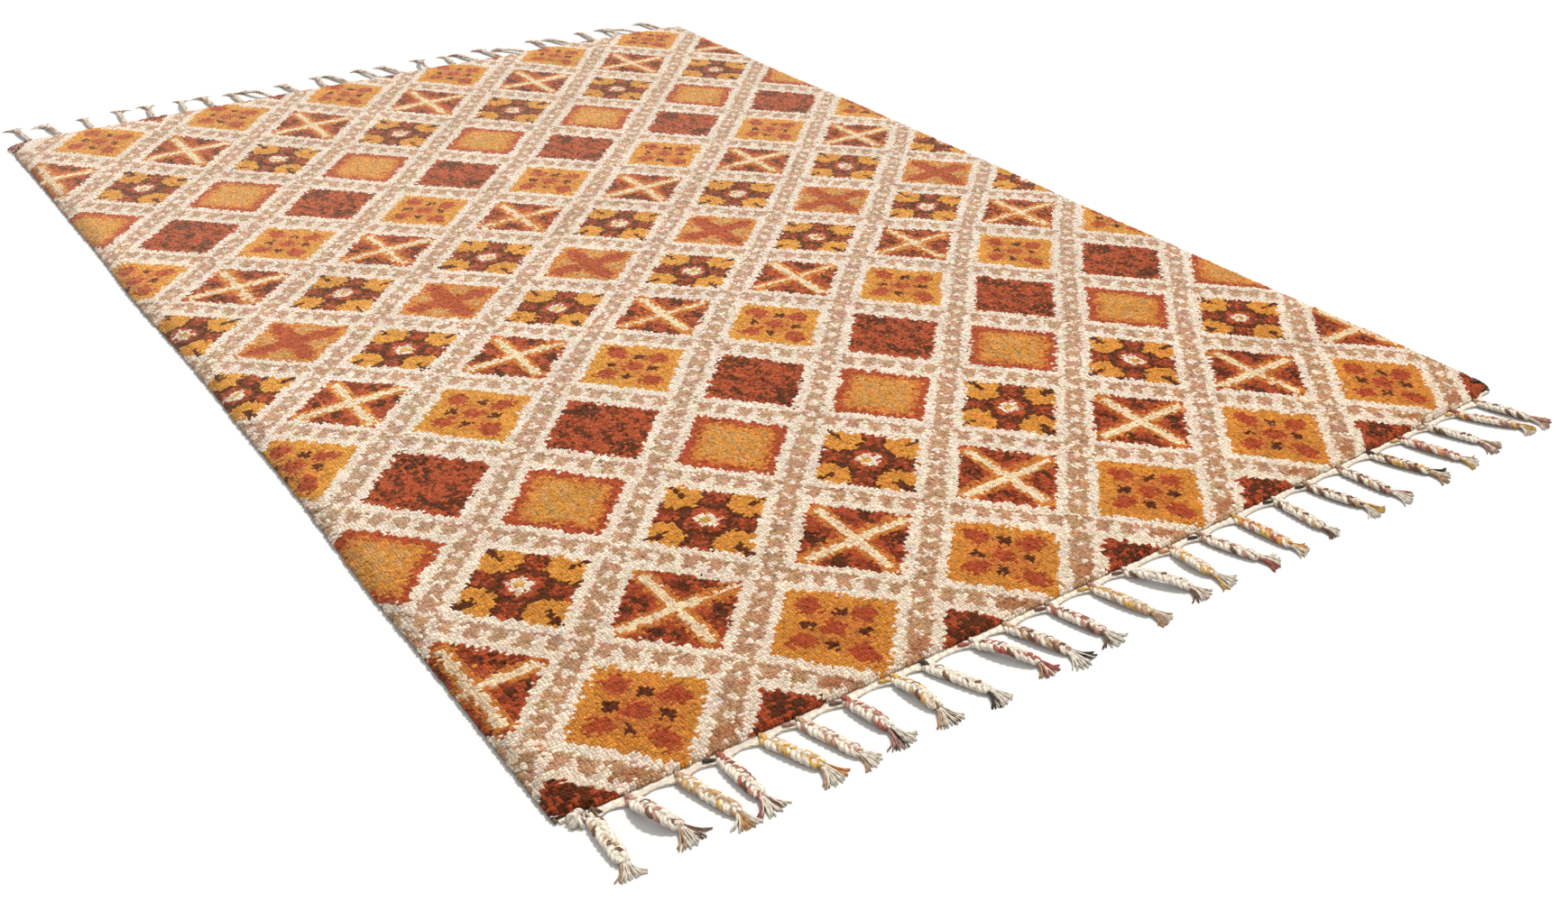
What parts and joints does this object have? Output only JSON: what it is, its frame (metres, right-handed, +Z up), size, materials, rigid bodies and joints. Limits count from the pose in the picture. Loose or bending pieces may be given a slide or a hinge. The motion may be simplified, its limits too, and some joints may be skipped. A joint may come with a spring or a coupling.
{
  "type": "marmoucha rug",
  "caption": "Flat rectangular pile rug with a diamond lattice of small motifs, overcast long sides and plaited fringes with tassels at both short ends.",
  "frame": {"origin": "centre of the rug on the floor it lies on", "axes": "+X across the rug, +Y along it towards the far fringe, +Z up out of the pile"},
  "size_m": [1.9999, 3.1666, 0.0174],
  "materials": {
    "pile": "dense matt wool pile in cream, tan, orange, gold, rust and dark brown",
    "selvedge": "matt overcast wool yarn in a greyish olive",
    "fringe": "matt cream cotton and wool yarn, with strands in rust and ochre"
  },
  "bodies": {
    "root": {"rug_body": "pile", "selvedge_left": "selvedge", "selvedge_right": "selvedge", "fringe_near": "fringe", "fringe_far": "fringe"}
  },
  "joints": []
}
